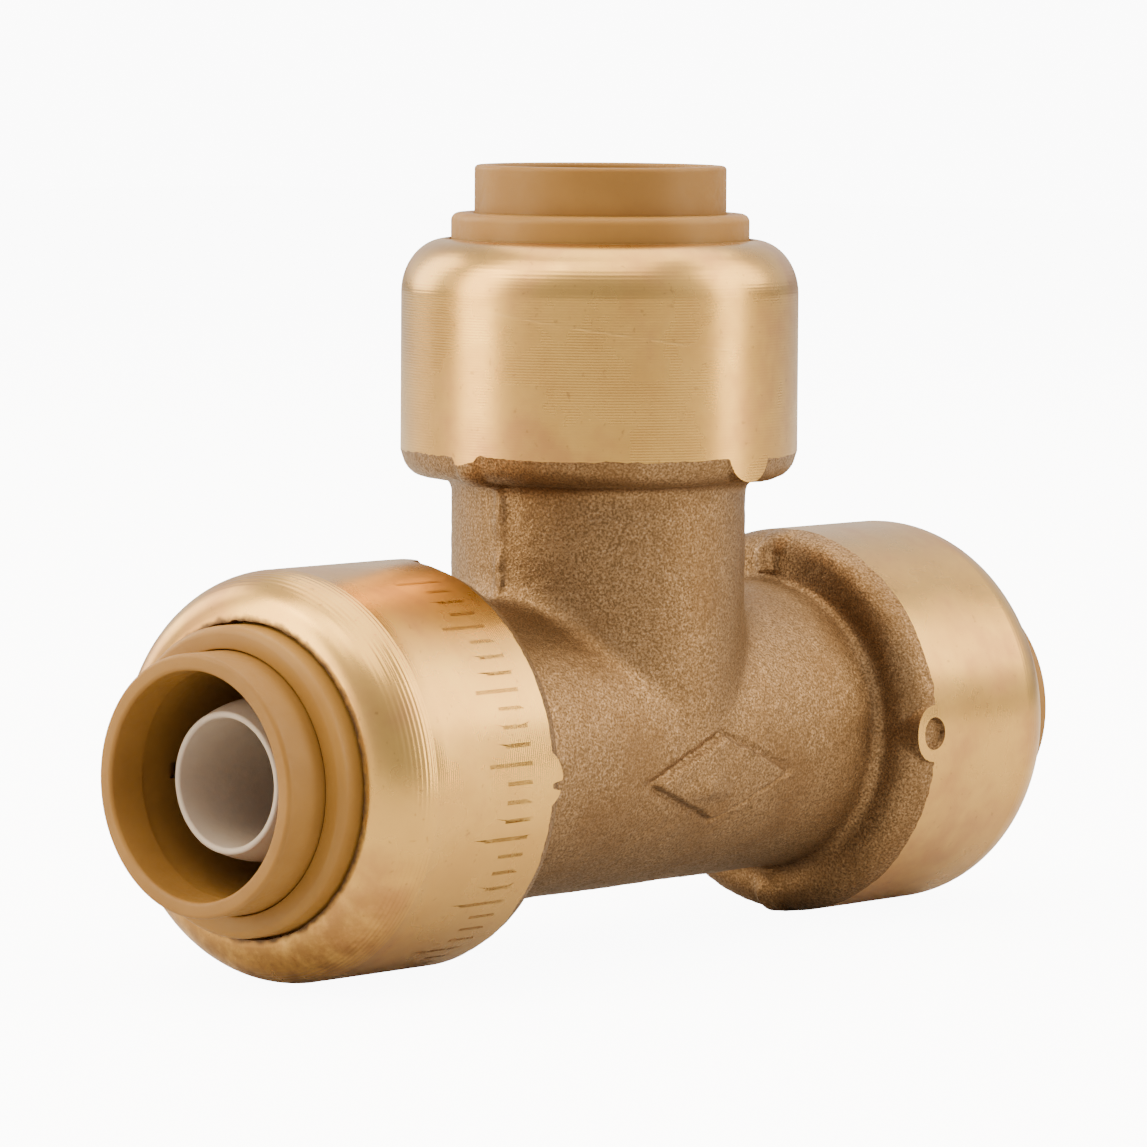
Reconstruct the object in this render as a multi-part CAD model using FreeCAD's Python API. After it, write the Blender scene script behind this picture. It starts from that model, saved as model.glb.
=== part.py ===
import FreeCAD, Part
import math
import os

# Push-to-connect tee for 5/8 in (15.875 mm) outside diameter tube, three equal ports.
# Row frame, mm: X along the run, Z up the branch, Y across. The origin is under the tee's centre,
# level with the bottom of the two run cups, so the run axis is CUP_R above it.
# Each port is described once, by radius r and distance s from the tee's centre along the port's axis.

TUBE_R = 15.875 / 2      # tube that the fitting takes
TUBE_GAP = 0.1125        # radial clearance of the tube in its bores
CUP_R = 14.6             # machined cups at the three ports
NECK_R = 10.8            # forged neck between the tee's centre and each cup
WATERWAY_R = 6.5         # bore through the forging
TUBE_BORE_R = TUBE_R + TUBE_GAP
SEAL_R = 10.2            # chamber of the O-ring
CARTRIDGE_R = 12.6       # chamber of the protector, grip ring and retainer
MOUTH_R = 11.15          # opening left by the rolled lip
SLIDE_GAP = 0.08         # radial clearance of the collar in its retainer
SEAT_GAP = 0.05          # gap left between pieces that are nested in one another

# Places along a port's axis, from the tee's centre outwards.
LINER_SEAT_S = 17.6      # back of the liner's flange
TUBE_STOP_S = 19.0       # front of the liner's flange, where the tube ends
SHOULDER_S = 19.6        # back face of the cup
SEAL_START_S = 23.5
SEAL_END_S = 26.2
GRIP_S = 30.05           # back face of the grip ring's flat rim
CATCH_S = 34.9           # step inside the retainer that stops the collar coming out
LIP_START_S = 34.4       # inside, where the lip begins to close in
LIP_END_S = 36.2
LIP_S = 37.05            # front of the rolled lip
LINER_TIP_S = 39.2
RETAINER_S = 38.95       # front face of the retainer
COLLAR_S = 42.45         # front face of the release collar

SHOULDER_ROUND = 2.0     # outer edge at the back of the cup
NECK_FILLET = 0.8        # root of the neck against the cup's back face
CROTCH_FILLET = 1.6      # where the branch's neck meets the run's
NOSE_AXIAL = 3.98        # elliptical nose of the cup, along the axis
NOSE_RADIAL = CUP_R - MOUTH_R

COLLAR_R = 9.25
COLLAR_CATCH_R = 10.2    # snap flange at the back of the collar
COLLAR_CATCH_LENGTH = 1.4
COLLAR_REAR_S = 30.2     # nose that pushes the grip ring's teeth apart over 2.3 mm of travel
COLLAR_REAR_BORE_R = 8.4
COLLAR_LAND_S = LINER_TIP_S + 0.15  # the guiding bore runs from here to the mouth
COLLAR_RIM_ROUND = 0.3
COLLAR_LEAD_IN = 0.3
COLLAR_SLOTS = 4
COLLAR_SLOT_WIDTH = 1.2
COLLAR_SLOT_END_S = 37.4

RETAINER_R = 10.96
RETAINER_FLANGE_R = CARTRIDGE_R - 0.1
RETAINER_RECESS_R = 10.5
RETAINER_RIM_ROUND = 0.45

GRIP_THICKNESS = 0.4
GRIP_RIM_R = 12.3
GRIP_ROOT_R = 11.0
GRIP_TIP_R = 7.8         # smaller than the tube, so the teeth bite
GRIP_SLANT = 2.0         # how much deeper the tips lie than the roots
GRIP_TEETH = 12
GRIP_SLOT_WIDTH = 1.3

O_RING_SECTION_R = 1.2
O_RING_CENTRE_R = SEAL_R - O_RING_SECTION_R - 0.02

LINER_R = 5.75
LINER_BORE_R = 4.55
LINER_TIP_R = 5.05
LINER_TAPER = 3.0
LINER_TIP_ROUND = 0.22

PORTS = ("left", "right", "top")
AXIS = FreeCAD.Vector(0, 0, 1)
ORIGIN = FreeCAD.Vector(0, 0, 0)
TEE_CENTRE = FreeCAD.Vector(0, 0, CUP_R)
FULL_TURN = 360


def rounded_corner(before, corner, after, rounding):
    """The edge that replaces a corner: a circular arc of one radius, or a quarter ellipse whose
    two semi-axes are the lengths that it takes off the incoming and the outgoing side."""
    incoming = (corner - before).normalize()
    outgoing = (after - corner).normalize()
    if isinstance(rounding, tuple):
        start = corner - incoming * rounding[0]
        end = corner + outgoing * rounding[1]
        curve = Part.BezierCurve()
        curve.setPoles([start, corner, end])
        curve.setWeight(2, math.sqrt(0.5))
        return start, curve.toShape(), end
    half_turn = incoming.getAngle(outgoing) / 2
    start = corner - incoming * rounding * math.tan(half_turn)
    end = corner + outgoing * rounding * math.tan(half_turn)
    inward = (outgoing - incoming).normalize()
    middle = corner + inward * rounding * (1 / math.cos(half_turn) - 1)
    return start, Part.Arc(start, middle, end).toShape(), end


def turned(profile):
    """Revolves a closed outline about the port's axis. Each point is (r, s) or (r, s, rounding)."""
    points = [FreeCAD.Vector(p[0], 0, p[1]) for p in profile]
    edges = []
    starts = []
    ends = []
    arcs = []
    for i, point in enumerate(profile):
        if len(point) == 3:
            following = points[(i + 1) % len(points)]
            start, arc, end = rounded_corner(points[i - 1], points[i], following, point[2])
        else:
            start, arc, end = points[i], None, points[i]
        starts.append(start)
        arcs.append(arc)
        ends.append(end)
    for i, arc in enumerate(arcs):
        if arc:
            edges.append(arc)
        edges.append(Part.LineSegment(ends[i], starts[(i + 1) % len(starts)]).toShape())
    face = Part.Face(Part.Wire(edges))
    return face.revolve(ORIGIN, AXIS, FULL_TURN)


def spoke_boxes(count, width, inner_r, outer_r, low_s, high_s):
    """Radial slots, evenly spaced about the port's axis."""
    boxes = []
    for i in range(count):
        box = Part.makeBox(outer_r - inner_r, width, high_s - low_s)
        box.translate(FreeCAD.Vector(inner_r, -width / 2, low_s))
        box.rotate(ORIGIN, AXIS, FULL_TURN * i / count)
        boxes.append(box)
    return boxes


def placed(shape, port):
    """A copy of a port piece, turned from the Z axis to its port and lifted to the tee's centre."""
    copy = shape.copy()
    tilt = {"left": -90, "right": 90, "top": 0}[port]
    copy.rotate(ORIGIN, FreeCAD.Vector(0, 1, 0), tilt)
    copy.translate(TEE_CENTRE)
    return copy


def cup_and_neck():
    return turned([
        (0, 0),
        (NECK_R, 0),
        (NECK_R, SHOULDER_S, NECK_FILLET),
        (CUP_R, SHOULDER_S, SHOULDER_ROUND),
        (CUP_R, LIP_S, (NOSE_AXIAL, NOSE_RADIAL - SEAT_GAP)),
        (MOUTH_R, LIP_S),
        (0, LIP_S),
    ])


def port_cavity():
    """The stepped bore of one port, with the waterway behind it."""
    mouth_chamfer = 0.3
    overrun = 1.0
    return turned([
        (0, 0),
        (WATERWAY_R, 0),
        (WATERWAY_R, LINER_SEAT_S),
        (TUBE_BORE_R, LINER_SEAT_S),
        (TUBE_BORE_R, SEAL_START_S - mouth_chamfer),
        (TUBE_BORE_R + mouth_chamfer, SEAL_START_S),
        (SEAL_R, SEAL_START_S),
        (SEAL_R, SEAL_END_S),
        (CARTRIDGE_R, SEAL_END_S),
        (CARTRIDGE_R, LIP_START_S),
        (MOUTH_R, LIP_END_S),
        (MOUTH_R, LIP_S + overrun),
        (0, LIP_S + overrun),
    ])


def tee_body():
    """The brass forging: three equal cups on a tee of necks, bored out from each port."""
    arms = [placed(cup_and_neck(), port) for port in PORTS]
    outside = arms[0].fuse(arms[1:]).removeSplitter()
    crotch = [edge for edge in outside.Edges if isinstance(edge.Curve, Part.Ellipse)]
    outside = outside.makeFillet(CROTCH_FILLET, crotch)
    return outside.cut([placed(port_cavity(), port) for port in PORTS])


def release_collar():
    """Collar that is pushed in to free the tube. Its slotted back snaps into the retainer."""
    nose_r = 8.75
    nose_length = 0.9
    catch_start = CATCH_S - COLLAR_CATCH_LENGTH
    catch_ramp = 0.5
    collar = turned([
        (COLLAR_REAR_BORE_R, COLLAR_REAR_S),
        (nose_r, COLLAR_REAR_S, 0.2),
        (COLLAR_R, COLLAR_REAR_S + nose_length),
        (COLLAR_R, catch_start),
        (COLLAR_CATCH_R, catch_start + catch_ramp),
        (COLLAR_CATCH_R, CATCH_S),
        (COLLAR_R, CATCH_S),
        (COLLAR_R, COLLAR_S, COLLAR_RIM_ROUND),
        (TUBE_BORE_R, COLLAR_S, COLLAR_LEAD_IN),
        (TUBE_BORE_R, COLLAR_LAND_S),
        (COLLAR_REAR_BORE_R, COLLAR_LAND_S - (COLLAR_REAR_BORE_R - TUBE_BORE_R)),
    ])
    slots = spoke_boxes(
        COLLAR_SLOTS,
        COLLAR_SLOT_WIDTH,
        TUBE_BORE_R - 1,
        COLLAR_CATCH_R + 1,
        COLLAR_REAR_S - 1,
        COLLAR_SLOT_END_S,
    )
    return collar.cut(slots)


def collar_retainer():
    """Ring that the rolled lip traps in the cup. The release collar slides in it."""
    bore_r = COLLAR_R + SLIDE_GAP
    cone_gap = CARTRIDGE_R - RETAINER_FLANGE_R
    return turned([
        (RETAINER_RECESS_R, GRIP_S + GRIP_THICKNESS + SEAT_GAP),
        (RETAINER_FLANGE_R, GRIP_S + GRIP_THICKNESS + SEAT_GAP),
        (RETAINER_FLANGE_R, LIP_START_S - SEAT_GAP),
        (MOUTH_R - cone_gap, LIP_END_S - SEAT_GAP),
        (RETAINER_R, LIP_END_S + SEAT_GAP),
        (RETAINER_R, RETAINER_S, RETAINER_RIM_ROUND),
        (bore_r, RETAINER_S, 0.1),
        (bore_r, CATCH_S),
        (RETAINER_RECESS_R, CATCH_S),
    ])


def grip_ring():
    """Stainless ring with teeth that slant inwards, so that they hold a tube pushed past them."""
    slant_rise = GRIP_SLANT / (GRIP_ROOT_R - GRIP_TIP_R)
    upright = GRIP_THICKNESS * math.sqrt(1 + slant_rise ** 2)
    front = GRIP_S + GRIP_THICKNESS
    ring = turned([
        (GRIP_RIM_R, GRIP_S),
        (GRIP_RIM_R, front),
        (GRIP_ROOT_R, front),
        (GRIP_TIP_R, front - GRIP_SLANT),
        (GRIP_TIP_R, front - GRIP_SLANT - upright),
        (GRIP_ROOT_R, front - upright),
        (GRIP_ROOT_R + upright, GRIP_S),
    ])
    slots = spoke_boxes(
        GRIP_TEETH, GRIP_SLOT_WIDTH, GRIP_TIP_R - 1, GRIP_ROOT_R - 0.4, front - GRIP_SLANT - 1, front + 1
    )
    return ring.cut(slots)


def o_ring_protector():
    """Washer between the O-ring and the grip ring, hollowed so that the teeth can flex."""
    bore_r = TUBE_BORE_R + 0.4
    inner_edge = 0.7
    rim_r = GRIP_ROOT_R + 0.35
    outer_r = CARTRIDGE_R - SEAT_GAP
    rim_front = GRIP_S - SEAT_GAP
    rim_depth = 0.8
    return turned([
        (bore_r, SEAL_END_S),
        (outer_r, SEAL_END_S),
        (outer_r, rim_front),
        (rim_r, rim_front),
        (rim_r, rim_front - rim_depth),
        (bore_r, SEAL_END_S + inner_edge),
    ])


def o_ring():
    ring = Part.makeTorus(O_RING_CENTRE_R, O_RING_SECTION_R)
    ring.translate(AXIS * (SEAL_START_S + SEAL_END_S) / 2)
    return ring


def tube_liner():
    """Sleeve that the tube slides over. Its flange seats in the forging and is the tube's stop."""
    return turned([
        (LINER_BORE_R, LINER_SEAT_S),
        (TUBE_BORE_R - SEAT_GAP, LINER_SEAT_S),
        (TUBE_BORE_R - SEAT_GAP, TUBE_STOP_S),
        (LINER_R, TUBE_STOP_S, 0.3),
        (LINER_R, LINER_TIP_S - LINER_TAPER, 4.0),
        (LINER_TIP_R, LINER_TIP_S, LINER_TIP_ROUND),
        (LINER_BORE_R, LINER_TIP_S, LINER_TIP_ROUND),
    ])


PORT_PIECES = {
    "release_collar": release_collar(),
    "collar_retainer": collar_retainer(),
    "grip_ring": grip_ring(),
    "o_ring_protector": o_ring_protector(),
    "o_ring": o_ring(),
    "tube_liner": tube_liner(),
}

os.makedirs("parts", exist_ok=True)
tee_body().exportStep("parts/tee_body.step")
for name, piece in PORT_PIECES.items():
    for port in PORTS:
        placed(piece, port).exportStep(f"parts/{name}_{port}.step")
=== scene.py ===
import math

import bmesh
import bpy
import numpy as np
from mathutils import Matrix, Vector, noise


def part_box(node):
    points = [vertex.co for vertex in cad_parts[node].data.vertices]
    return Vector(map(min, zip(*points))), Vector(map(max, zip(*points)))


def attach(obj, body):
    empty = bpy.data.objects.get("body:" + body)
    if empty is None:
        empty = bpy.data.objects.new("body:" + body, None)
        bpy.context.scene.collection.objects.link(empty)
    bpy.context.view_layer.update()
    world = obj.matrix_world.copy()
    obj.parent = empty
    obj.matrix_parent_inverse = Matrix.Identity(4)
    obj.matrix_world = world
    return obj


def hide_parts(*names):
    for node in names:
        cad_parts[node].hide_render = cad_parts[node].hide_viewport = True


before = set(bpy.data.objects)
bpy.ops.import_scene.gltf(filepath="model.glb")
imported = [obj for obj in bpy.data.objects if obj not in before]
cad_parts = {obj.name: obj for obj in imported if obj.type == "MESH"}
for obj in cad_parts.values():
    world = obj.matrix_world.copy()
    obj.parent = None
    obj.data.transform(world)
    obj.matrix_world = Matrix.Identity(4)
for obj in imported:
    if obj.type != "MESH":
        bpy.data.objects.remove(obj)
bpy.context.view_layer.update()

# Push-to-connect tee. Everything is in metres in the row frame: X along the run, Z up the branch,
# and -Y is the marked side. MM turns the millimetres that the fitting is drawn in into metres.
# s is how far a point is from the tee's centre along its port's axis, and r how far from that axis.
MM = 0.001
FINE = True

# Driving sizes, read from the CAD parts in model.glb where they give them.
BODY_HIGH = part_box("tee_body")[1]
COLLAR_LOW, COLLAR_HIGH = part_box("release_collar_right")
RETAINER_LOW, RETAINER_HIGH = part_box("collar_retainer_right")
LINER_LOW, LINER_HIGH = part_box("tube_liner_right")
CUP_R = BODY_HIGH.y
TEE_CENTRE = Vector((0, 0, CUP_R))
LIP_S = BODY_HIGH.x              # front of the rolled lip, from the tee's centre
COLLAR_S = COLLAR_HIGH.x
RETAINER_S = RETAINER_HIGH.x
LINER_TIP_S = LINER_HIGH.x
LINER_SEAT_S = LINER_LOW.x
PORTS = {"left": Vector((-1, 0, 0)), "right": Vector((1, 0, 0)), "top": Vector((0, 0, 1))}

# The other sizes of the CAD's profiles.
NECK_R = 10.8 * MM
SHOULDER_S = 19.6 * MM           # back of a cup
MOUTH_R = 11.15 * MM             # inner edge of the rolled lip
NOSE_LENGTH = 3.98 * MM          # from a cup's cylinder to the front of its lip
LIP_INNER_S = 36.2 * MM
CHAMBER_R = 12.6 * MM            # bore that holds the grip ring and the retainer
CHAMBER_END_S = 34.4 * MM
TUBE_BORE_R = 8.05 * MM
WATERWAY_R = 6.5 * MM
SEAL_R = 10.2 * MM               # bore that holds the O-ring
SEAL_START_S = 23.5 * MM
SEAL_END_S = 26.2 * MM
COLLAR_R = 9.25 * MM
CATCH_S = 34.9 * MM              # step of the retainer that stops the collar
CATCH_R = 10.2 * MM

TURN_SEGMENTS = 192 if FINE else 96
ARM_SEGMENTS = 160
FORGED_VOXEL = 0.3 * MM if FINE else 0.6 * MM
BRASS_FOLD, PLASTIC_FOLD = 40, 35   # folds steeper than this, in degrees, are shaded sharp


# ---------------------------------------------------------------- helpers

def smooth_step(low, high, value):
    """0 below low, 1 above high, with a smooth slope between."""
    t = np.clip((value - low) / (high - low), 0, 1)
    return t * t * (3 - 2 * t)


def port_matrix(port):
    """Takes port coordinates (x, y, s) to the row frame. y stays world Y, so -y is the marked side."""
    along = PORTS[port]
    across = Vector((0, 1, 0))
    side = across.cross(along)
    turn = Matrix((side, across, along)).transposed().to_4x4()
    return Matrix.Translation(TEE_CENTRE) @ turn


def new_object(name, mesh, *materials):
    piece = bpy.data.objects.new(name, mesh)
    bpy.context.scene.collection.objects.link(piece)
    for material in materials:
        mesh.materials.append(material)
    return piece


def turned(name, profile, port, segments, material, shape=None):
    """A closed solid of revolution. profile runs from (r, s) to (r, s); a closed ring ends where it
    starts, and a solid starts and ends on the axis. shape(angle, r, s) may move the points."""
    on_axis = profile[0][0] == 0
    inner = profile[1:-1] if on_axis else profile
    rows = len(inner)
    angles = np.arange(segments) * 2 * math.pi / segments
    radii = np.array([p[0] for p in inner])[:, None] * np.ones(segments)
    places = np.array([p[1] for p in inner])[:, None] * np.ones(segments)
    if shape:
        radii, places = shape(angles[None, :], radii, places)
    points = np.stack([radii * np.cos(angles), radii * np.sin(angles), places], axis=-1).reshape(-1, 3)
    faces = []
    for row in range(rows if not on_axis else rows - 1):
        a, b = row * segments, (row + 1) % rows * segments
        for i in range(segments):
            j = (i + 1) % segments
            faces.append((a + i, b + i, b + j, a + j))
    if on_axis:
        first, last = len(points), len(points) + 1
        ends = [(0, 0, profile[0][1]), (0, 0, profile[-1][1])]
        points = np.vstack([points, ends])
        top = (rows - 1) * segments
        for i in range(segments):
            j = (i + 1) % segments
            faces.append((first, i, j))
            faces.append((last, top + j, top + i))
    mesh = bpy.data.meshes.new(name)
    mesh.from_pydata(points.tolist(), [], faces)
    mesh.transform(port_matrix(port))
    mesh.validate()
    mesh.update()
    outward = sum((p.center - TEE_CENTRE).dot(p.normal) * p.area for p in mesh.polygons)
    if outward < 0:
        mesh.flip_normals()
    return new_object(name, mesh, material)


def arc(centre, radius, start, end, steps):
    """Points of a circular arc in (r, s), angles in degrees, 0 along +r and 90 along +s."""
    turn = [math.radians(start + (end - start) * i / steps) for i in range(steps + 1)]
    return [(centre[0] + radius * math.cos(t), centre[1] + radius * math.sin(t)) for t in turn]


def points_of(mesh):
    points = np.zeros(len(mesh.vertices) * 3)
    mesh.vertices.foreach_get("co", points)
    return points.reshape(-1, 3)


def move_points(mesh, points):
    mesh.vertices.foreach_set("co", points.ravel())
    mesh.update()


def cut(piece, tool, operation):
    """Applies a boolean with a tool object, which is then removed."""
    step = piece.modifiers.new("cut", "BOOLEAN")
    step.object = tool
    step.operation = operation
    step.solver = "MANIFOLD"
    graph = bpy.context.evaluated_depsgraph_get()
    result = bpy.data.meshes.new_from_object(piece.evaluated_get(graph), depsgraph=graph)
    piece.modifiers.remove(step)
    old = piece.data
    piece.data = result
    bpy.data.meshes.remove(old)
    bpy.data.objects.remove(tool)


def soft_shading(mesh, sharp_degrees):
    """Smooth shading, with sharp edges at steep folds and where two finishes meet."""
    mesh.shade_smooth()
    mesh.set_sharp_from_angle(angle=math.radians(sharp_degrees))
    if len(mesh.materials) > 1:
        no_finish, beyond_any = -1, 99
        finish = np.zeros(len(mesh.polygons), dtype=np.int32)
        mesh.polygons.foreach_get("material_index", finish)
        loop_edges = np.zeros(len(mesh.loops), dtype=np.int32)
        mesh.loops.foreach_get("edge_index", loop_edges)
        totals = np.zeros(len(mesh.polygons), dtype=np.int32)
        mesh.polygons.foreach_get("loop_total", totals)
        owner = np.repeat(np.arange(len(mesh.polygons)), totals)
        lowest = np.full(len(mesh.edges), beyond_any)
        highest = np.full(len(mesh.edges), no_finish)
        np.minimum.at(lowest, loop_edges, finish[owner])
        np.maximum.at(highest, loop_edges, finish[owner])
        sharp = mesh.attributes.get("sharp_edge") or mesh.attributes.new("sharp_edge", "BOOLEAN", "EDGE")
        flags = np.zeros(len(mesh.edges), dtype=bool)
        sharp.data.foreach_get("value", flags)
        sharp.data.foreach_set("value", flags | (lowest != highest))


# ---------------------------------------------------------------- materials

class Nodes:
    """Short ways to add and link shader nodes in one material."""

    def __init__(self, name):
        self.material = bpy.data.materials.new(name)
        self.material.use_nodes = True
        self.tree = self.material.node_tree
        self.tree.nodes.clear()
        self.shader = self.add("ShaderNodeBsdfPrincipled")
        output = self.add("ShaderNodeOutputMaterial")
        self.link(self.shader.outputs[0], output.inputs["Surface"])
        self.place = self.add("ShaderNodeTexCoord").outputs["Object"]

    def add(self, kind, **settings):
        node = self.tree.nodes.new(kind)
        for key, value in settings.items():
            setattr(node, key, value)
        return node

    def link(self, source, target):
        self.tree.links.new(source, target)

    def put(self, node, socket, value):
        if isinstance(value, bpy.types.NodeSocket):
            self.link(value, node.inputs[socket])
        else:
            node.inputs[socket].default_value = value

    def math(self, operation, first, second=0.0):
        node = self.add("ShaderNodeMath", operation=operation)
        self.put(node, 0, first)
        self.put(node, 1, second)
        return node.outputs[0]

    def ramp(self, value, low, high, start=0.0, end=1.0):
        """Goes smoothly from start to end as value goes from low to high."""
        node = self.add("ShaderNodeMapRange", interpolation_type="SMOOTHSTEP")
        for socket, amount in (("Value", value), ("From Min", low), ("From Max", high)):
            self.put(node, socket, amount)
        self.put(node, "To Min", start)
        self.put(node, "To Max", end)
        return node.outputs[0]

    def noise(self, size, detail=2.0, roughness=0.5, place=None, distortion=0.0):
        """Noise whose features are about size metres across, from 0 to 1."""
        node = self.add("ShaderNodeTexNoise")
        self.put(node, "Vector", place or self.place)
        self.put(node, "Scale", 1 / size)
        self.put(node, "Detail", detail)
        self.put(node, "Roughness", roughness)
        self.put(node, "Distortion", distortion)
        return node.outputs["Fac"]

    def join(self, first, second):
        """A place vector made of two values."""
        node = self.add("ShaderNodeCombineXYZ")
        self.link(first, node.inputs[0])
        self.link(second, node.inputs[1])
        return node.outputs[0]

    def mix(self, factor, first, second):
        """A colour between first and second. Either is a socket or (red, green, blue)."""
        first_input, second_input, colour_output = 6, 7, 2
        node = self.add("ShaderNodeMix", data_type="RGBA")
        self.put(node, "Factor", factor)
        for socket, colour in ((first_input, first), (second_input, second)):
            is_socket = isinstance(colour, bpy.types.NodeSocket)
            self.put(node, socket, colour if is_socket else (*colour, 1))
        return node.outputs[colour_output]

    def bump(self, height, distance, strength=1.0, normal=None):
        node = self.add("ShaderNodeBump")
        self.put(node, "Height", height)
        self.put(node, "Distance", distance)
        self.put(node, "Strength", strength)
        if normal:
            self.link(normal, node.inputs["Normal"])
        return node.outputs[0]

    def along_and_radius(self):
        """(s, r) of the nearest port: how far out along its axis, and how far from that axis."""
        split = self.add("ShaderNodeSeparateXYZ")
        self.link(self.place, split.inputs[0])
        x, y = split.outputs[0], split.outputs[1]
        z = self.math("SUBTRACT", split.outputs[2], CUP_R)
        run = self.math("ABSOLUTE", x)
        is_top = self.math("GREATER_THAN", z, run)
        along = self.math("MAXIMUM", run, z)
        other = self.add("ShaderNodeMix", data_type="FLOAT")
        self.link(is_top, other.inputs["Factor"])
        self.link(z, other.inputs[2])
        self.link(x, other.inputs[3])
        across = self.math("POWER", other.outputs[0], 2.0)
        squared = self.math("ADD", across, self.math("POWER", y, 2.0))
        return along, self.math("SQRT", squared)

    def shade(self, distance, samples):
        """How open a place is, from 0 in a deep corner to 1, looking that far round it."""
        node = self.add("ShaderNodeAmbientOcclusion", samples=samples, only_local=True)
        self.put(node, "Distance", distance)
        return node.outputs["AO"]

    def set(self, **values):
        """Sets the shader's inputs, named with underscores for spaces."""
        for name, value in values.items():
            self.put(self.shader, name.replace("_", " "), value)


def forged_brass():
    """Sand-blasted skin of the forging: bronze-brown, finely grained, with painted shade in the corners
    and crevices.
    """
    n = Nodes("forged_brass")
    grain = n.noise(0.17 * MM, detail=2.0, roughness=0.6)
    coarse = n.noise(0.7 * MM, detail=3.0, roughness=0.6)
    stain = n.noise(6 * MM, detail=3.0, roughness=0.6)
    dark, mid, light = (0.135, 0.077, 0.034), (0.255, 0.151, 0.074), (0.380, 0.240, 0.135)
    stained, shaded, crevice_shade = (0.145, 0.075, 0.030), (0.10, 0.048, 0.018), (0.055, 0.026, 0.010)
    colour = n.mix(n.ramp(grain, 0.34, 0.6), dark, mid)
    colour = n.mix(n.ramp(grain, 0.56, 0.76), colour, light)
    colour = n.mix(n.ramp(stain, 0.4, 0.7, 0.0, 0.5), colour, stained)
    # Painted shade: the colour darkens where a point is closed in, broadly in the corners and finely in
    # the crevices round the raised marks.
    corners = n.ramp(n.shade(3.5 * MM, 8), 0.3, 0.8, 0.3, 0.0)
    crevices = n.ramp(n.shade(0.7 * MM, 6), 0.55, 0.92, 0.55, 0.0)
    colour = n.mix(corners, colour, shaded)
    n.set(
        Base_Color=n.mix(crevices, colour, crevice_shade),
        Metallic=1.0,
        Roughness=n.ramp(grain, 0.3, 0.7, 0.60, 0.43),
    )
    rough = n.bump(coarse, 0.07 * MM, 0.6)
    n.set(Normal=n.bump(grain, 0.048 * MM, 0.8, rough))
    return n.material


def machined_brass(name):
    """Turned cups: satin brass with fine circumferential tool lines, tarnish clouds, a stained
    underside of the nose and a darker, duller band on the inner edge of the lip."""
    n = Nodes(name)
    along, radius = n.along_and_radius()
    tone = n.noise(5 * MM, detail=3.0, roughness=0.55)
    tarnish = n.noise(9 * MM, detail=4.0, roughness=0.62)
    specks = n.noise(0.5 * MM, detail=2.0)
    stain = nose_stain(n, along)
    lip_band = dark_lip_band(n, along, radius)
    scratch = handling_scratch(n)

    clean, warm, tarnished = (0.60, 0.348, 0.098), (0.545, 0.303, 0.086), (0.44, 0.215, 0.082)
    speckled, stained, lip_band_colour = (0.26, 0.13, 0.05), (0.235, 0.112, 0.042), (0.075, 0.038, 0.016)
    bright = (0.66, 0.40, 0.13)
    colour = n.mix(n.ramp(tone, 0.35, 0.7), clean, warm)
    colour = n.mix(n.ramp(tarnish, 0.46, 0.68, 0.0, 0.75), colour, tarnished)
    colour = n.mix(n.ramp(specks, 0.64, 0.78, 0.0, 0.45), colour, speckled)
    colour = n.mix(stain, colour, stained)
    colour = n.mix(scratch, colour, bright)
    rough = n.math("ADD", n.ramp(tarnish, 0.3, 0.75, 0.25, 0.34), n.math("MULTIPLY", lip_band, 0.3))
    n.set(
        Base_Color=n.mix(lip_band, colour, lip_band_colour),
        Metallic=n.math("SUBTRACT", 1.0, n.math("MULTIPLY", lip_band, 0.5)),
        Roughness=n.math("ADD", rough, n.math("MULTIPLY", stain, 0.12)),
    )

    line_pitch = 0.2 * MM
    drift = n.math("MULTIPLY", n.noise(2.4 * MM), 0.03 * MM)
    place = n.math("ADD", n.math("ADD", along, n.math("MULTIPLY", radius, 0.6)), drift)
    lines = n.math("SINE", n.math("MULTIPLY", place, 2 * math.pi / line_pitch))
    line_noise = n.noise(0.3 * MM, detail=2.0, place=n.join(along, radius))
    pores = n.noise(0.14 * MM, detail=1.0)
    surface = n.bump(lines, 0.0021 * MM, 0.6)
    surface = n.bump(line_noise, 0.0035 * MM, 0.6, surface)
    surface = n.bump(pores, 0.0025 * MM, 0.6, surface)
    n.set(Normal=n.bump(scratch, 0.012 * MM, 0.8, surface))
    return n.material


def nose_stain(n, along):
    """Brown stains on the lower half of each nose."""
    place = n.add("ShaderNodeSeparateXYZ")
    n.link(n.place, place.inputs[0])
    low = n.ramp(place.outputs["Z"], CUP_R - 13 * MM, CUP_R - 2 * MM, 1.0, 0.0)
    near_front = n.ramp(along, LIP_S - 5.5 * MM, LIP_S - 1.5 * MM, 0.0, 0.75)
    blotches = n.ramp(n.noise(2.2 * MM, detail=5.0, roughness=0.7), 0.3, 0.65)
    return n.math("MULTIPLY", n.math("MULTIPLY", low, near_front), blotches)


def dark_lip_band(n, along, radius):
    """A darker, duller band on the inner edge of each rolled lip."""
    ragged = n.math("ADD", radius, n.math("MULTIPLY", n.noise(0.9 * MM, detail=4.0), 0.8 * MM))
    inner = n.ramp(ragged, MOUTH_R + 0.42 * MM, MOUTH_R + 0.95 * MM, 0.92, 0.0)
    return n.math("MULTIPLY", inner, n.ramp(along, LIP_S - 1.1 * MM, LIP_S - 0.5 * MM))


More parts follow.
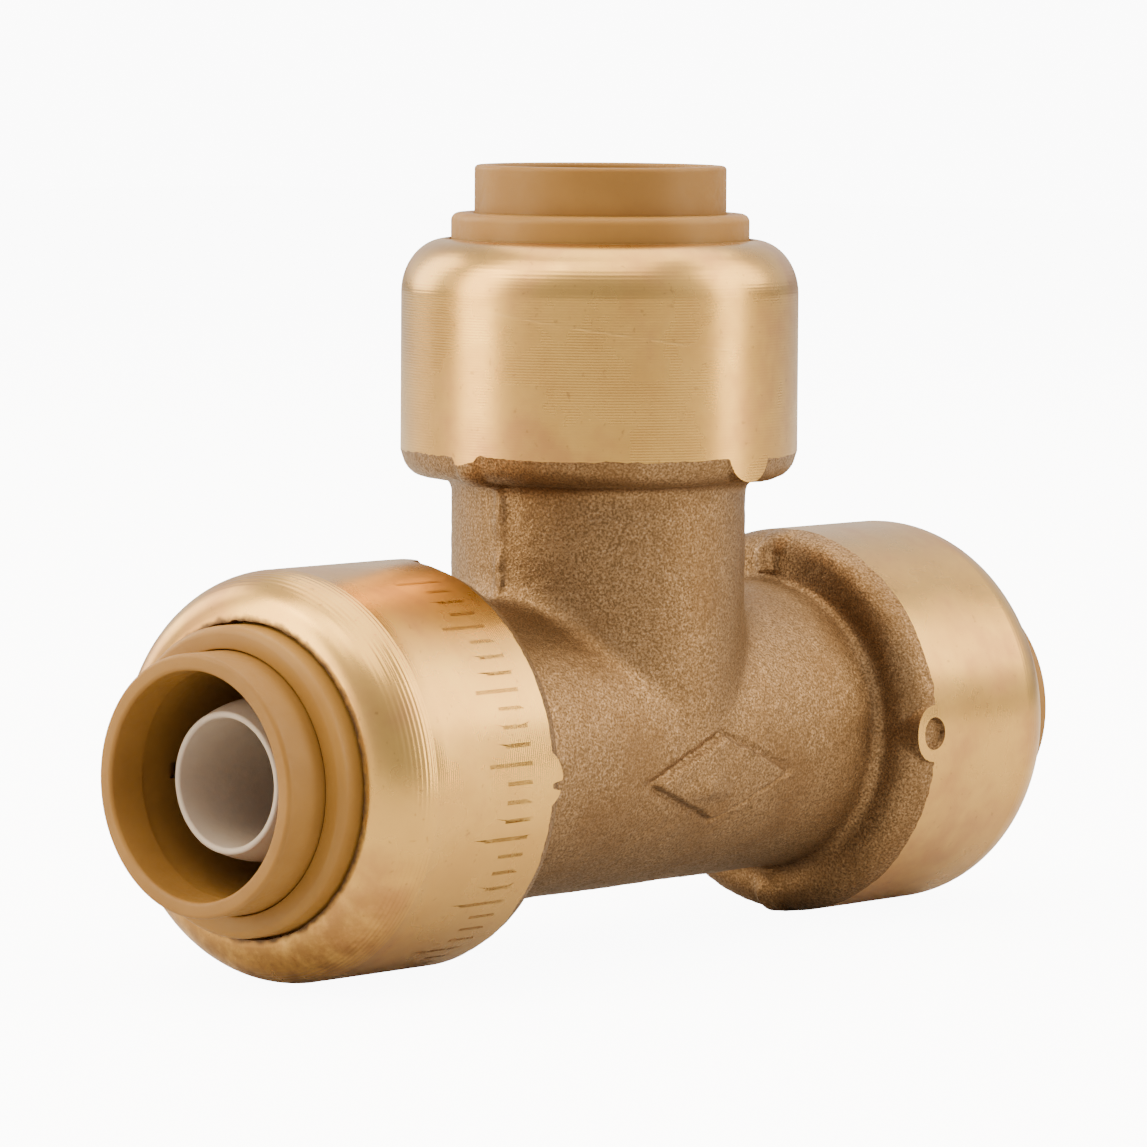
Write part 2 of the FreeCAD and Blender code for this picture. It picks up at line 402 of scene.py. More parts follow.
def handling_scratch(n):
    """One fine slanting scratch part of the way round the branch's cup."""
    start, end = -3.08, -1.56        # angles about Z
    fade_in, fade_out = 0.2, 0.25
    fall = 2.15 * MM                 # per radian
    height_at_zero = 25.82 * MM
    split = n.add("ShaderNodeSeparateXYZ")
    n.link(n.place, split.inputs[0])
    turn = n.math("ARCTAN2", split.outputs[1], split.outputs[0])
    height = n.math("SUBTRACT", split.outputs[2], CUP_R)
    wobble = n.math("MULTIPLY", n.noise(4 * MM), 0.3 * MM)
    level = n.math("ADD", n.math("ADD", height, n.math("MULTIPLY", turn, fall)), wobble)
    off = n.math("ABSOLUTE", n.math("SUBTRACT", level, height_at_zero))
    line = n.ramp(off, 0.02 * MM, 0.14 * MM, 1.0, 0.0)
    line = n.math("MULTIPLY", line, n.ramp(turn, start, start + fade_in))
    line = n.math("MULTIPLY", line, n.ramp(turn, end - fade_out, end, 1.0, 0.0))
    return n.math("MULTIPLY", line, n.ramp(n.noise(1.5 * MM), 0.35, 0.65, 0.05, 0.5))


def bored_brass():
    """Inside of the forging, bored and oily, seen only down the ports."""
    n = Nodes("bored_brass")
    tone = n.noise(2 * MM, detail=3.0)
    n.set(
        Base_Color=n.mix(tone, (0.36, 0.19, 0.06), (0.22, 0.11, 0.035)),
        Metallic=1.0,
        Roughness=0.4,
        Normal=n.bump(n.noise(0.3 * MM), 0.01 * MM),
    )
    return n.material


def moulded(name, colours, roughness, subsurface, specular):
    """Moulded plastic with a faint orange-peel, tone drift and fine rubbed marks."""
    n = Nodes(name)
    drift = n.noise(6 * MM, detail=2.0)
    peel = n.noise(0.5 * MM, detail=2.0)
    rubbed = n.noise(1.2 * MM, detail=4.0, roughness=0.7, distortion=1.2)
    n.set(
        Base_Color=n.mix(n.ramp(drift, 0.3, 0.7), *colours),
        Roughness=n.ramp(rubbed, 0.3, 0.7, roughness - 0.06, roughness + 0.08),
        Normal=n.bump(peel, 0.012 * MM, 0.6),
        Subsurface_Weight=subsurface,
        Subsurface_Radius=(1.0, 0.55, 0.3),
        Subsurface_Scale=1.2 * MM,
        Specular_IOR_Level=specular,
    )
    return n.material


def stamped_steel():
    """Spring steel of the grip rings."""
    n = Nodes("stamped_steel")
    fine = n.noise(0.12 * MM, detail=2.0)
    tone = n.noise(3 * MM)
    n.set(
        Base_Color=n.mix(tone, (0.62, 0.62, 0.61), (0.48, 0.47, 0.45)),
        Metallic=1.0,
        Roughness=n.ramp(fine, 0.3, 0.7, 0.2, 0.38),
        Normal=n.bump(fine, 0.006 * MM),
    )
    return n.material


def seal_rubber():
    """Black rubber with a faint bloom."""
    n = Nodes("seal_rubber")
    bloom = n.noise(1.5 * MM, detail=3.0)
    n.set(
        Base_Color=n.mix(bloom, (0.010, 0.010, 0.011), (0.028, 0.027, 0.026)),
        Roughness=n.ramp(bloom, 0.3, 0.7, 0.35, 0.55),
        Normal=n.bump(n.noise(0.4 * MM), 0.008 * MM),
    )
    return n.material


CLAY, CLAY_SHADE = (0.25, 0.122, 0.027), (0.215, 0.102, 0.021)
HONEY, HONEY_SHADE = (0.285, 0.142, 0.031), (0.25, 0.12, 0.025)
PALE, PALE_SHADE = (0.44, 0.36, 0.30), (0.385, 0.305, 0.245)
IVORY, IVORY_SHADE = (0.5, 0.47, 0.4), (0.45, 0.42, 0.36)

FORGED = forged_brass()
MACHINED = machined_brass("machined_brass")
BORED = bored_brass()
COLLAR_PLASTIC = moulded("collar_acetal", (CLAY, CLAY_SHADE), 0.46, 0.1, 0.22)
RETAINER_PLASTIC = moulded("retainer_acetal", (HONEY, HONEY_SHADE), 0.43, 0.1, 0.22)
LINER_PLASTIC = moulded("liner_plastic", (PALE, PALE_SHADE), 0.45, 0.12, 0.3)
PROTECTOR_PLASTIC = moulded("protector_plastic", (IVORY, IVORY_SHADE), 0.5, 0.1, 0.5)
STEEL = stamped_steel()
RUBBER = seal_rubber()


# ---------------------------------------------------------------- tee body

# Where the turned cylinder of each cup starts, which differs a little from one set-up to the next.
TURNED_FROM_S = {"left": 21.45 * MM, "right": 22.0 * MM, "top": 21.75 * MM}


def forged_blank():
    """The whole forging before machining, as one even mesh: necks, shoulders and solid cups."""
    raw_r = CUP_R - 0.08 * MM
    thin_stock_r = CUP_R + 0.15 * MM     # at the cup's edge, where turning hardly bites
    stock_r = CUP_R + 0.7 * MM
    edge_blend = 0.1 * MM
    root = 0.9 * MM                      # rounding where a neck meets its cup
    flat = 0.2 * MM                      # left between the shoulder's rounding and the turned edge
    overlap = -3 * MM
    beyond = LIP_S + 1.5 * MM
    arms = []
    for port, edge in TURNED_FROM_S.items():
        corner = edge - SHOULDER_S - flat
        profile = [(0, overlap), (NECK_R, overlap)]
        profile += arc((NECK_R + root, SHOULDER_S - root), root, 180, 90, 6)
        profile += arc((raw_r - corner, SHOULDER_S + corner), corner, -90, 0, 10)
        profile += [(raw_r, edge - edge_blend), (thin_stock_r, edge + edge_blend)]
        profile += [(thin_stock_r, edge + MM), (stock_r, edge + 2 * MM), (stock_r, beyond), (0, beyond)]
        arms.append(turned(f"arm_{port}", profile, port, ARM_SEGMENTS, FORGED))
    points, faces = [], []
    for arm in arms:
        start = len(points)
        points += [v.co.copy() for v in arm.data.vertices]
        faces += [[start + i for i in p.vertices] for p in arm.data.polygons]
        bpy.data.objects.remove(arm)
    mesh = bpy.data.meshes.new("tee_body")
    mesh.from_pydata(points, [], faces)
    body = new_object("tee_body_brass", mesh, FORGED)
    step = body.modifiers.new("even", "REMESH")
    step.mode = "VOXEL"
    step.voxel_size = FORGED_VOXEL
    graph = bpy.context.evaluated_depsgraph_get()
    body.data = bpy.data.meshes.new_from_object(body.evaluated_get(graph), depsgraph=graph)
    body.modifiers.clear()
    body.data.materials.clear()
    for finish in (FORGED, MACHINED, BORED):
        body.data.materials.append(finish)
    return body


def neighbours_average(values, pairs, counts):
    """For each point, the mean of the points that share an edge with it."""
    total = np.zeros_like(values)
    for axis in range(values.shape[1]):
        total[:, axis] = np.bincount(pairs[:, 0], values[pairs[:, 1], axis], len(values))
        total[:, axis] += np.bincount(pairs[:, 1], values[pairs[:, 0], axis], len(values))
    return total / counts[:, None]


def blend_corners(points, pairs):
    """Evens out the voxels everywhere, and rounds the crotch between branch and run further."""
    even_rounds, step = 4, 0.6
    rounds = 90 if FINE else 24
    sharper_in_front = 0.8
    counts = np.bincount(pairs.ravel(), minlength=len(points)).astype(float)
    x, y, z = points[:, 0], points[:, 1], points[:, 2] - CUP_R
    from_crotch = np.abs(np.abs(x) - z) + 0.6 * np.maximum(0, -z)
    crotch = 1 - smooth_step(1.2 * MM, 4.5 * MM, from_crotch)
    crotch *= (z > -2 * MM) & (np.hypot(x, z) < 17 * MM)
    crotch *= 1 - sharper_in_front * smooth_step(4 * MM, 9 * MM, np.abs(y))
    for turn in range(rounds):
        strength = crotch if turn >= even_rounds else np.ones(len(points))
        points = points + (neighbours_average(points, pairs, counts) - points) * (step * strength)[:, None]
    return points


def noise_field(points, size, seed, octaves=2):
    """Solid noise at each point, whose largest features are about size across."""
    shift = Vector((seed * 13.7, seed * 5.1, seed * 9.3))
    total = np.zeros(len(points))
    weight, scale = 1.0, 1 / size
    for _ in range(octaves):
        total += weight * np.array([noise.noise(Vector(p) * scale + shift) for p in points])
        weight, scale = weight * 0.5, scale * 2
    return total


MARK_CENTRE = (1.6 * MM, -2.0 * MM)   # of the raised lozenge, from the tee's centre, in x and z
MARK_HALF_LENGTH = 7.4 * MM
MARK_HALF_HEIGHT = 3.0 * MM
RING_S = {"left": 22.3 * MM, "right": 21.75 * MM, "top": 21.9 * MM}
RING_R = 2.1 * MM
HOLLOW_R = {"left": 0, "right": 1.15 * MM, "top": 0}   # only the right cup's mark has a hollow


def lozenge_field(x, z):
    """Signed distance, positive inside, of a plain lozenge along the run."""
    slope = math.hypot(1 / MARK_HALF_LENGTH, 1 / MARK_HALF_HEIGHT)
    return (1 - np.abs(x) / MARK_HALF_LENGTH - np.abs(z) / MARK_HALF_HEIGHT) / slope


def port_places(points):
    """Where each point is at the port nearest to it: is that the branch, s, the sideways part of r
    (x on the branch and z on the run), and r."""
    x, y, z = points[:, 0], points[:, 1], points[:, 2] - CUP_R
    is_top = z > np.abs(x)
    s = np.where(is_top, z, np.abs(x))
    across = np.where(is_top, x, z)
    return is_top, s, across, np.hypot(across, y)


def by_port(points, values):
    """For each point, the value of the port that it is nearest to."""
    x, z = points[:, 0], points[:, 2] - CUP_R
    run = np.where(x < 0, values["left"], values["right"])
    return np.where(z > np.abs(x), values["top"], run)


def from_ring(points):
    """Distance from the centre of the nearest cup's round forged mark, seen along Y."""
    _, s, across, _ = port_places(points)
    return np.hypot(across, s - by_port(points, RING_S))


def refine_marks(mesh):
    """Splits the faces round the forged marks, so that these come out crisp."""
    lozenge_margin, ring_margin = 0.8 * MM, 0.7 * MM
    patch_half_height, patch_rise = 5.2 * MM, 1.5 * MM
    grid = bmesh.new()
    grid.from_mesh(mesh)
    centres = np.array([face.calc_center_median() for face in grid.faces])
    x, y, z = centres[:, 0], centres[:, 1], centres[:, 2] - CUP_R
    mark = np.abs(x - MARK_CENTRE[0]) < MARK_HALF_LENGTH + lozenge_margin
    mark &= np.abs(z - MARK_CENTRE[1] - patch_rise) < patch_half_height
    mark &= y < -5 * MM
    ring = (from_ring(centres) < RING_R + ring_margin) & (y < -10 * MM)
    grid.faces.ensure_lookup_table()
    chosen = {edge for i in np.flatnonzero(mark | ring) for edge in grid.faces[i].edges}
    ordered = sorted(chosen, key=lambda edge: edge.index)
    bmesh.ops.subdivide_edges(grid, edges=ordered, cuts=1, use_grid_fill=True)
    grid.to_mesh(mesh)
    grid.free()


def ring_marks(points):
    """Round forged bosses on the cups, which turning then trims. The left one is notched."""
    proud, depth = 0.12 * MM, 0.45 * MM
    notch_z = -0.5 * MM
    x, y, z = points[:, 0], points[:, 1], points[:, 2] - CUP_R
    is_top, s, across, r = port_places(points)
    on_front = (y < 0) & (r > 11.5 * MM) & (s < 26 * MM)
    from_centre = from_ring(points)
    boss = on_front * (1 - smooth_step(RING_R - 0.1 * MM, RING_R + 0.1 * MM, from_centre))
    notch = 1 - smooth_step(0.15 * MM, 0.4 * MM, np.abs(z - notch_z))
    is_left = x < -s + MM
    boss *= np.where(is_left, 1 - notch, 1)
    hollow_r = by_port(points, HOLLOW_R)
    hollow = 1 - smooth_step(-0.15 * MM, 0.15 * MM, from_centre - hollow_r)
    hollow *= on_front & (hollow_r > 0)
    target = r + boss * (np.maximum(r, CUP_R + proud) - r)
    target += hollow * (CUP_R - depth - target)
    scale = target / np.maximum(r, MM)
    across = across * scale
    moved = points.copy()
    moved[:, 0] = np.where(is_top, across, x)
    moved[:, 1] = y * scale
    moved[:, 2] = np.where(is_top, z, across) + CUP_R
    return moved


def forged_relief(points):
    """How far each point of the forged skin stands proud: waves, parting flash and the lozenge."""
    relief = noise_field(points, 6 * MM, 1) * 0.06 * MM
    relief += noise_field(points, 0.8 * MM, 2, 3) * 0.035 * MM

    # The parting flash lies in the plane y = 0, and is widest and highest on the cups.
    x, y, z = points[:, 0], points[:, 1], points[:, 2] - CUP_R
    is_top, s, _, r = port_places(points)
    on_cup = smooth_step(SHOULDER_S - 1.0 * MM, SHOULDER_S + 0.2 * MM, s) * (r > 11.3 * MM)
    on_branch = is_top * (1 - on_cup)
    wander = noise_field(points * np.array([1, 0, 1]), 3 * MM, 3) * 0.2 * MM
    half_width = (0.42 + 0.6 * on_cup) * MM
    land = 1 - smooth_step(half_width - 0.15 * MM, half_width + 0.15 * MM, np.abs(y + wander))
    worn = np.clip(0.8 + 0.9 * noise_field(points, 2.2 * MM, 4), 0.2, 1.3)
    relief += land * (0.10 + 0.14 * on_branch + 0.16 * on_cup) * MM * worn

    # The lozenge is raised, with a slight channel at its foot.
    edge = noise_field(points, 0.9 * MM, 5) * 0.13 * MM
    mark = lozenge_field(x - MARK_CENTRE[0], z - MARK_CENTRE[1]) + edge
    foot = smooth_step(-0.7 * MM, -0.3 * MM, mark) * (1 - smooth_step(-0.25 * MM, -0.05 * MM, mark))
    raised = smooth_step(-0.12 * MM, 0.14 * MM, mark)
    relief += (raised * 0.5 - foot * 0.13) * MM * (y < -5 * MM)
    return relief


def shaped_forging():
    """The forging with its rounded corners, waves, flash and forged marks."""
    body = forged_blank()
    mesh = body.data
    pairs = np.zeros(len(mesh.edges) * 2, dtype=np.int32)
    mesh.edges.foreach_get("vertices", pairs)
    move_points(mesh, blend_corners(points_of(mesh), pairs.reshape(-1, 2)))
    refine_marks(mesh)
    points = points_of(mesh)
    normals = np.zeros(points.size)
    mesh.vertex_normals.foreach_get("vector", normals)
    move_points(mesh, ring_marks(points + normals.reshape(-1, 3) * forged_relief(points)[:, None]))
    return body


def cup_profile(port):
    """Turned outside of a cup from its cylinder over the nose to the lip, with the coarser steps
    that the form tool leaves where the nose begins."""
    nose_start = LIP_S - NOSE_LENGTH
    nose_height = CUP_R - MOUTH_R - 0.12 * MM
    cylinder_rows = (19.2, 20.4, 21, 21.6, 22.2, 23, 25, 27, 29, 31, 32)   # close where forging is left
    ridge_pitch = 0.34 * MM
    ridge_from, ridge_to = nose_start - 0.6 * MM, nose_start + 3.2 * MM
    ridge = {"left": 0.014 * MM, "right": 0.004 * MM, "top": 0.002 * MM}[port]
    steps = 72 if FINE else 24
    rows = [(CUP_R, s * MM) for s in cylinder_rows]
    for i in range(steps + 1):
        turn = math.pi / 2 * i / steps
        s = nose_start + NOSE_LENGTH * math.sin(turn)
        r = CUP_R - nose_height * (1 - math.cos(turn))
        fade = smooth_step(ridge_from, ridge_from + MM, s) * (1 - smooth_step(ridge_to - MM, ridge_to, s))
        r += ridge * fade * (math.sin(2 * math.pi * (s - ridge_from) / ridge_pitch) - 1)
        rows.append((r, s))
    return rows


def ragged_lip(angles, radii, places):
    """A torn burr on the inner edge of the rolled lip."""
    tears = 14
    rag = np.array([
        noise.fractal(Vector((math.cos(a) * tears, math.sin(a) * tears, 3.0)), 0.6, 2.2, 4)
        for a in angles.ravel()
    ])
    near = smooth_step(MOUTH_R + 0.55 * MM, MOUTH_R + 0.1 * MM, radii) * (places > LIP_INNER_S)
    radii = radii - near * (0.05 + 0.09 * rag) * MM
    places = places - near * np.abs(rag) * 0.10 * MM
    return radii, places


def machining_envelope(port):
    """Everything that turning leaves at one port: a solid that contains the rest of the tee."""
    far = 70 * MM
    rows = cup_profile(port)
    profile = [(0, -far), (far, -far), (far, rows[0][1])] + rows + [(0, rows[-1][1])]
    return turned(f"turn_{port}", profile, port, TURN_SEGMENTS, MACHINED)


def port_cavity(port):
    """The stepped bore of one port, opened through a ragged lip."""
    beyond = LIP_S + 1 * MM
    lead_in, lead_depth = 0.1 * MM, 0.25 * MM
    profile = [
        (0, 0),
        (WATERWAY_R, 0),
        (WATERWAY_R, LINER_SEAT_S),
        (TUBE_BORE_R, LINER_SEAT_S),
        (TUBE_BORE_R, SEAL_START_S),
        (SEAL_R, SEAL_START_S),
        (SEAL_R, SEAL_END_S),
        (CHAMBER_R, SEAL_END_S),
        (CHAMBER_R, CHAMBER_END_S),
        (MOUTH_R, LIP_INNER_S),
        (MOUTH_R, LIP_S - lead_depth),
        (MOUTH_R + lead_in, LIP_S),
        (MOUTH_R + lead_in, beyond),
        (0, beyond),
    ]
    return turned(f"bore_{port}", profile, port, TURN_SEGMENTS, BORED, ragged_lip)


def groove_tube(path, port):
    """A closed thin tube along points (angle in degrees, s in mm) on a cup's surface, to engrave."""
    radius, sides = 0.16 * MM, 10
    axis_r = CUP_R + 0.05 * MM
    rings = len(path)
    places = []
    for angle, s in path:
        turn = math.radians(angle)
        outward = Vector((math.cos(turn), math.sin(turn), 0))
        places.append((outward * axis_r + Vector((0, 0, s * MM)), outward))
    verts, faces = [], []
    for i, (point, outward) in enumerate(places):
        before = places[max(0, i - 1)][0]
        after = places[min(rings - 1, i + 1)][0]
        side = outward.cross((after - before).normalized()).normalized()
        for k in range(sides):
            t = 2 * math.pi * k / sides
            verts.append(point + (outward * math.cos(t) + side * math.sin(t)) * radius)
    for i in range(rings - 1):
        for k in range(sides):
            j = (k + 1) % sides
            faces.append((i * sides + k, i * sides + j, (i + 1) * sides + j, (i + 1) * sides + k))
    last = (rings - 1) * sides
    faces.append(tuple(range(sides - 1, -1, -1)))
    faces.append(tuple(last + k for k in range(sides)))
    matrix = port_matrix(port)
    return [matrix @ v for v in verts], faces


def engraved_marks():
    """An even graduation around the left cup, every fourth tick long. The grooves take the darker bored
    finish, painted shade in the grooves.
    """
    ticks, long_every = 29, 4
    start_angle, pitch = -168, 5.2
    low, long_tick, short_tick = 23.4, 4.4, 2.6
    points, faces = [], []
    for i in range(ticks):
        angle = start_angle + pitch * i
        length = long_tick if i % long_every == 0 else short_tick
        tube_points, tube_faces = groove_tube([(angle, low), (angle, low + length)], "left")
        start = len(points)
        points += tube_points
        faces += [tuple(start + k for k in face) for face in tube_faces]
    mesh = bpy.data.meshes.new("engraving")
    mesh.from_pydata(points, [], faces)
    mesh.update()
    return new_object("engraving", mesh, BORED)


def tee_body():
    """The brass body: forged, turned outside, bored, then engraved."""
    body = shaped_forging()
    for port in PORTS:
        cut(body, machining_envelope(port), "INTERSECT")
    for port in PORTS:
        cut(body, port_cavity(port), "DIFFERENCE")
    # The engraved grooves take the darker bored finish: painted shade in the grooves.
    cut(body, engraved_marks(), "DIFFERENCE")
    soft_shading(body.data, BRASS_FOLD)
    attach(body, "tee")
    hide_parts("tee_body")


# ---------------------------------------------------------------- port pieces

def slot_bar(port, reach_x, reach_y):
    """A bar across a port's axis, which cuts two opposite slots."""
    low, high = COLLAR_LOW.x - MM, 36.2 * MM
    square = [(-reach_x, -reach_y), (reach_x, -reach_y), (reach_x, reach_y), (-reach_x, reach_y)]
    corners = [(x, y, s) for s in (low, high) for x, y in square]
    faces = [(3, 2, 1, 0), (4, 5, 6, 7)]
    faces += [(k, (k + 1) % 4, 4 + (k + 1) % 4, 4 + k) for k in range(4)]
    mesh = bpy.data.meshes.new("slots")
    mesh.from_pydata(corners, [], faces)
    mesh.transform(port_matrix(port))
    mesh.update()
    return new_object("slots", mesh, COLLAR_PLASTIC)


# The long straight walls below have extra rows near their rounded ends, which keep the smooth
# shading flat there.

def release_collar(port):
    """Tan collar with a rounded rim. Four slots let its back snap into the retainer."""
    rim, lead = 0.32 * MM, 0.3 * MM
    slot_reach, slot_half = 11.2 * MM, 0.6 * MM
    rear_s, land_s = COLLAR_LOW.x, LINER_TIP_S + 0.15 * MM
    rear_bore = 8.4 * MM
    catch_back = CATCH_S - 1.4 * MM
    catch_front = CATCH_S - 0.03 * MM   # just clear of the step in the retainer
    profile = [
        (rear_bore, rear_s),
        (8.6 * MM, rear_s),
        (8.8 * MM, rear_s + 0.2 * MM),
        (COLLAR_R, rear_s + 0.9 * MM),
        (COLLAR_R, catch_back),
        (CATCH_R, catch_back + 0.5 * MM),
        (CATCH_R, catch_front),
        (COLLAR_R, catch_front),
    ]
    profile += [(COLLAR_R, s * MM) for s in (38, 39, 40, 41, 41.9)]
    profile += arc((COLLAR_R - rim, COLLAR_S - rim), rim, 0, 90, 8)
    profile += arc((TUBE_BORE_R + lead, COLLAR_S - lead), lead, 90, 180, 6)
    profile += [(TUBE_BORE_R, 41 * MM), (TUBE_BORE_R, 40 * MM), (TUBE_BORE_R, land_s)]
    profile += [(rear_bore, land_s - 0.35 * MM), (rear_bore, 35 * MM)]
    collar = turned(f"release_collar_{port}_shell", profile, port, TURN_SEGMENTS, COLLAR_PLASTIC)
    cut(collar, slot_bar(port, slot_reach, slot_half), "DIFFERENCE")
    cut(collar, slot_bar(port, slot_half, slot_reach), "DIFFERENCE")
    soft_shading(collar.data, PLASTIC_FOLD)
    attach(collar, f"collar_{port}")
    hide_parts(f"release_collar_{port}")


def collar_retainer(port):
    """Tan ring under the rolled lip, with a rounded front corner."""
    rim, bore_rim = 0.6 * MM, 0.1 * MM
    outer_r, flange_r = RETAINER_HIGH.y - 1.54 * MM, RETAINER_HIGH.y
    bore_r = COLLAR_R + 0.08 * MM
    recess_r, rear_s = 10.5 * MM, RETAINER_LOW.x
    gap = 0.05 * MM
    profile = [
        (recess_r, rear_s),
        (flange_r, rear_s),
        (flange_r, CHAMBER_END_S - gap),
        (MOUTH_R - 2 * gap, LIP_INNER_S - gap),
        (outer_r, LIP_INNER_S + 2 * gap),
        (outer_r, 37.2 * MM),
        (outer_r, 38 * MM),
    ]
    profile += arc((outer_r - rim, RETAINER_S - rim), rim, 0, 90, 8)
    profile += arc((bore_r + bore_rim, RETAINER_S - bore_rim), bore_rim, 90, 180, 3)
    profile += [(bore_r, 38 * MM), (bore_r, CATCH_S), (recess_r, CATCH_S)]
    ring = turned(f"collar_retainer_{port}_ring", profile, port, TURN_SEGMENTS, RETAINER_PLASTIC)
    soft_shading(ring.data, PLASTIC_FOLD)
    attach(ring, "tee")
    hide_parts(f"collar_retainer_{port}")


def tube_liner(port):
    """Pale sleeve with a tapered, rounded tip and a flange at its seat."""
    bore_r, tip_r, sleeve_r = 4.55 * MM, 5.05 * MM, 5.75 * MM
    lip, root = 0.22 * MM, 0.3 * MM
    flange_r = LINER_HIGH.y
    stop_s = 19 * MM
    taper, taper_curve, taper_steps = 3 * MM, 1.5, 8
    profile = [(bore_r, LINER_SEAT_S), (flange_r, LINER_SEAT_S), (flange_r, stop_s)]
    profile += arc((sleeve_r + root, stop_s + root), root, 270, 180, 4)
    for i in range(taper_steps + 1):
        t = i / taper_steps
        r = sleeve_r - (sleeve_r - tip_r) * t ** taper_curve
        profile.append((r, LINER_TIP_S - taper + (taper - lip) * t))
    profile += arc((tip_r - lip, LINER_TIP_S - lip), lip, 20, 90, 5)
    profile += arc((bore_r + lip, LINER_TIP_S - lip), lip, 90, 180, 5)
    profile += [(bore_r, 36 * MM), (bore_r, 28 * MM)]
    sleeve = turned(f"tube_liner_{port}_sleeve", profile, port, TURN_SEGMENTS // 2, LINER_PLASTIC)
    soft_shading(sleeve.data, PLASTIC_FOLD)
    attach(sleeve, "tee")
    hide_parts(f"tube_liner_{port}")


def finish_node(name, material):
    """Gives a carried-over CAD node its finish."""
    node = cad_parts[name]
    node.data.materials.clear()
    node.data.materials.append(material)


tee_body()
for port_name in PORTS:
    release_collar(port_name)
    collar_retainer(port_name)
    tube_liner(port_name)
    finish_node(f"grip_ring_{port_name}", STEEL)
    finish_node(f"o_ring_{port_name}", RUBBER)
    finish_node(f"o_ring_protector_{port_name}", PROTECTOR_PLASTIC)


# ---------------------------------------------------------------- stage, lights and camera

def floor():
    """A pale floor whose glow only the camera sees, which makes it look nearly white."""
    half = 1.5
    seen_glow = 9.5
    mesh = bpy.data.meshes.new("floor")
    corners = [(-half, -half, 0), (half, -half, 0), (half, half, 0), (-half, half, 0)]
    mesh.from_pydata(corners, [], [(0, 1, 2, 3)])
    n = Nodes("pale_floor")
    tone = n.noise(0.15, detail=2.0)
    glow = n.math("MULTIPLY", n.add("ShaderNodeLightPath").outputs["Is Camera Ray"], seen_glow)
    n.set(Base_Color=n.mix(tone, (0.60, 0.60, 0.60), (0.64, 0.64, 0.64)), Roughness=0.6)
    n.set(Emission_Color=(1, 1, 1, 1), Emission_Strength=glow)
    new_object("floor", mesh, n.material)


CAMERA_TURN = math.radians(-48.60)
CAMERA_RISE = 4.68                   # degrees
CAMERA_ROLL = math.radians(0.372)
CAMERA_DISTANCE = 513.1 * MM
CAMERA_SHIFT = (-1.72 * MM, 12.36 * MM)   # from the line to the tee's centre, right and up
LENS, SENSOR = 218.16, 36                 # mm


def away(turn_degrees, rise_degrees):
    """Unit vector from the tee to a place round it, turned from the camera's own direction."""
    turn = CAMERA_TURN + math.radians(turn_degrees)
    rise = math.radians(rise_degrees)
    return Vector((math.sin(turn) * math.cos(rise), -math.cos(turn) * math.cos(rise), math.sin(rise)))


# Soft boxes: turn and rise as seen from the tee in degrees, distance, width and height in metres,
# and power in watts.
SOFT_BOXES = {
    "left_softbox": (-75, 20, 0.45, 0.19, 0.42, 2.2),
    "left_rear_softbox": (-125, 22, 0.9, 0.4, 0.6, 4.6),
    "left_high_softbox": (-60, 52, 0.9, 0.5, 0.45, 4),
    "right_softbox": (80, 20, 0.45, 0.13, 0.42, 1.3),
    "right_high_softbox": (103, 37, 0.9, 0.35, 0.72, 4.2),
    "top_softbox": (165, 72, 0.9, 0.8, 0.8, 8),
    "front_softbox": (0, 66, 0.9, 0.7, 0.45, 4.2),
}
WARM_WHITE = (1.0, 0.88, 0.62)


def soft_box(name, turn, rise, distance, width, height, power):
    """A rectangular lamp that faces the tee and that the camera doesn't see."""
    lamp = bpy.data.lights.new(name, "AREA")
    lamp.shape = "RECTANGLE"
    lamp.size = width
    lamp.size_y = height
    lamp.energy = power
    lamp.color = WARM_WHITE
    holder = bpy.data.objects.new(name, lamp)
    bpy.context.scene.collection.objects.link(holder)
    holder.visible_camera = False
    direction = away(turn, rise)
    holder.location = TEE_CENTRE + direction * distance
    holder.rotation_euler = direction.to_track_quat("Z", "Y").to_euler()


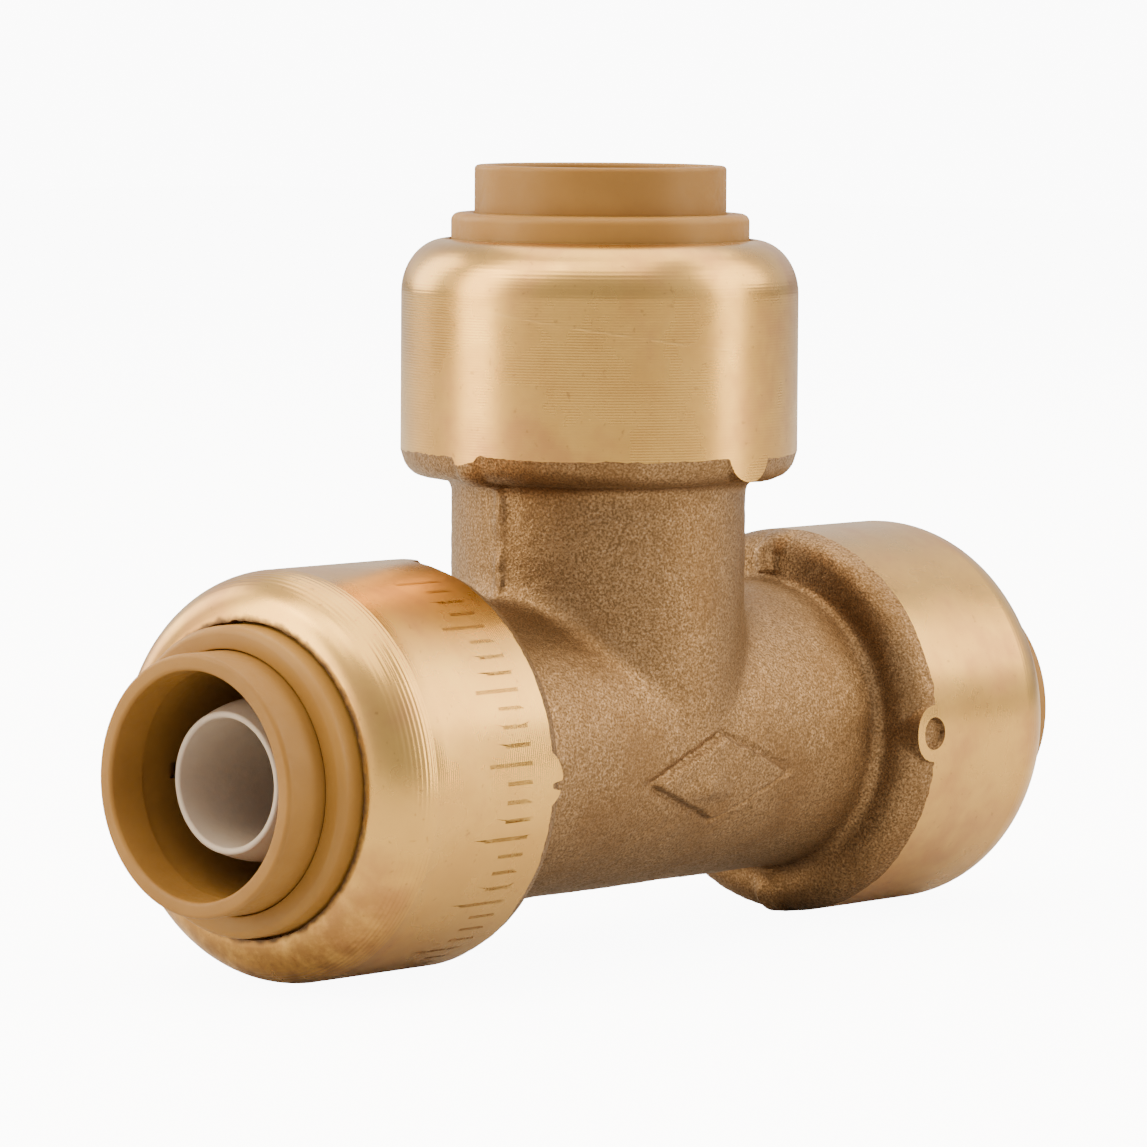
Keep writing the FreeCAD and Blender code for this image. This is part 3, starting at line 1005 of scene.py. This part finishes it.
def world_light():
    """White all round, darker towards the room in front of the object and low at the sides."""
    world = bpy.data.worlds.new("studio")
    world.use_nodes = True
    tree = world.node_tree
    tree.nodes.clear()
    add, link = tree.nodes.new, tree.links.new
    place = add("ShaderNodeTexCoord")
    seen_strength = 10.5

    def dims(direction, reach, amounts):
        """Falls from the first amount to the second as the view turns towards direction."""
        dot = add("ShaderNodeVectorMath")
        dot.operation = "DOT_PRODUCT"
        link(place.outputs["Generated"], dot.inputs[0])
        dot.inputs[1].default_value = direction
        fall = add("ShaderNodeMapRange")
        fall.interpolation_type = "SMOOTHSTEP"
        link(dot.outputs["Value"], fall.inputs["Value"])
        for socket, amount in zip(("From Min", "From Max", "To Min", "To Max"), (*reach, *amounts)):
            fall.inputs[socket].default_value = amount
        return fall.outputs[0]

    def combine(operation, first, second):
        result = add("ShaderNodeMath")
        result.operation = operation
        link(first, result.inputs[0])
        link(second, result.inputs[1])
        return result.outputs[0]

    front = dims(away(0, -12), (0.35, 0.9), (1.15, 0.72))
    above_horizon = dims(Vector((0, 0, 1)), (0.05, 0.13), (0.4, 1.0))
    in_front = dims(away(0, 0), (0.3, 0.6), (0.0, 1.0))
    band = combine("MAXIMUM", above_horizon, in_front)
    seen = add("ShaderNodeLightPath")
    strength = add("ShaderNodeMix")
    link(seen.outputs["Is Camera Ray"], strength.inputs["Factor"])
    link(combine("MULTIPLY", front, band), strength.inputs[2])
    strength.inputs[3].default_value = seen_strength
    background = add("ShaderNodeBackground")
    background.inputs["Color"].default_value = (1, 1, 1, 1)
    link(strength.outputs[0], background.inputs["Strength"])
    output = add("ShaderNodeOutputWorld")
    link(background.outputs[0], output.inputs["Surface"])
    bpy.context.scene.world = world


def camera():
    """Long lens, a little above the run, looking between the left port and the marked side."""
    back = away(0, CAMERA_RISE)
    level = Vector((math.cos(CAMERA_TURN), math.sin(CAMERA_TURN), 0))
    upright = back.cross(level)
    right = level * math.cos(CAMERA_ROLL) + upright * math.sin(CAMERA_ROLL)
    up = upright * math.cos(CAMERA_ROLL) - level * math.sin(CAMERA_ROLL)
    lens = bpy.data.cameras.new("camera")
    lens.lens = LENS
    lens.sensor_width = SENSOR
    lens.clip_start = 0.05
    holder = bpy.data.objects.new("camera", lens)
    bpy.context.scene.collection.objects.link(holder)
    place = TEE_CENTRE + back * CAMERA_DISTANCE + right * CAMERA_SHIFT[0] + up * CAMERA_SHIFT[1]
    holder.matrix_world = Matrix.Translation(place) @ Matrix((right, up, back)).transposed().to_4x4()
    bpy.context.scene.camera = holder


floor()
world_light()
for box_name, settings in SOFT_BOXES.items():
    soft_box(box_name, *settings)
camera()
